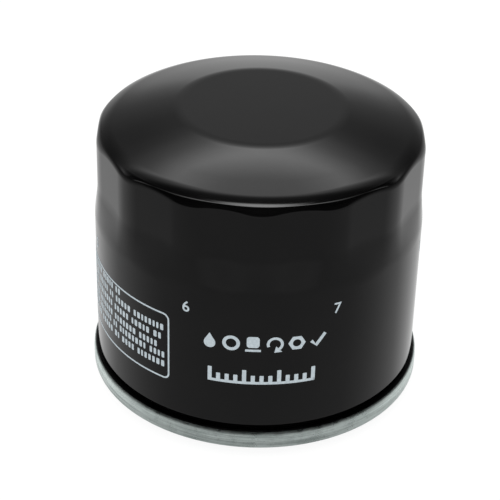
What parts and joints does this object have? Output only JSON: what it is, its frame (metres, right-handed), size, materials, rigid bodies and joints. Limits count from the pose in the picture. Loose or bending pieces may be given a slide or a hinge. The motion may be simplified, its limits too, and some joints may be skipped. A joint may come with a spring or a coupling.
{
  "type": "spin-on oil filter",
  "caption": "Spin-on engine oil filter: domed steel can with wrench flats, rolled seam, gasket, threaded base, pleated element, bypass and anti-drainback valves.",
  "frame": {"origin": "centre of the gasket's sealing face, where the filter meets the engine", "axes": "+Z along the thread axis, from the gasket towards the domed end; a wrench flat faces +X and a ridge between two flats faces -Y"},
  "size_m": [0.0678, 0.068, 0.0601],
  "materials": {
    "can_paint": "gloss black enamel",
    "print_ink": "pale screen-printed ink",
    "zinc_plate": "zinc-plated sheet steel, rolled, with fine lines round it",
    "seam_compound": "matt seaming compound",
    "bare_steel": "stamped steel, lightly oiled",
    "nitrile_rubber": "moulded black nitrile, satin",
    "silicone_rubber": "moulded silicone, satin",
    "tinned_steel": "tinplate, satin",
    "potting_adhesive": "cured adhesive",
    "filter_paper": "resin-treated pleated paper",
    "spring_steel": "oiled spring wire"
  },
  "bodies": {
    "can": {"outer_can": "can_paint", "seaming_lid": "zinc_plate", "seam_sealant": "seam_compound", "tapping_plate": "bare_steel", "sealing_gasket": "nitrile_rubber", "hold_down_spring": "spring_steel"},
    "filter_element": {"lower_end_cap": "tinned_steel", "upper_end_cap": "tinned_steel", "center_tube": "tinned_steel", "lower_adhesive": "potting_adhesive", "upper_adhesive": "potting_adhesive", "pleated_media": "filter_paper", "media_seam_clip": "zinc_plate", "bypass_seat_plate": "bare_steel", "bypass_valve_cage": "bare_steel", "bypass_spring": "spring_steel"},
    "bypass_valve": {"bypass_poppet": "bare_steel", "bypass_packing": "nitrile_rubber", "poppet_rivet": "bare_steel"},
    "drainback_valve": {"anti_drainback_valve": "silicone_rubber"}
  },
  "joints": [
    {"name": "element_float", "type": "slide", "parent": "can", "child": "filter_element", "axis": [0, 0, 1], "range_m": [0, 0.0012], "stiffness_N_per_m": 4000, "springref_m": -0.0005, "deforming": ["hold_down_spring"]},
    {"name": "bypass_open", "type": "slide", "parent": "filter_element", "child": "bypass_valve", "axis": [0, 0, -1], "range_m": [0, 0.003], "stiffness_N_per_m": 1500, "springref_m": -0.0002, "deforming": ["bypass_spring"]},
    {"name": "drainback_lift", "type": "slide", "parent": "can", "child": "drainback_valve", "axis": [0, 0, 1], "range_m": [0, 0.0012], "stiffness_N_per_m": 500, "deforming": ["anti_drainback_valve"]}
  ]
}
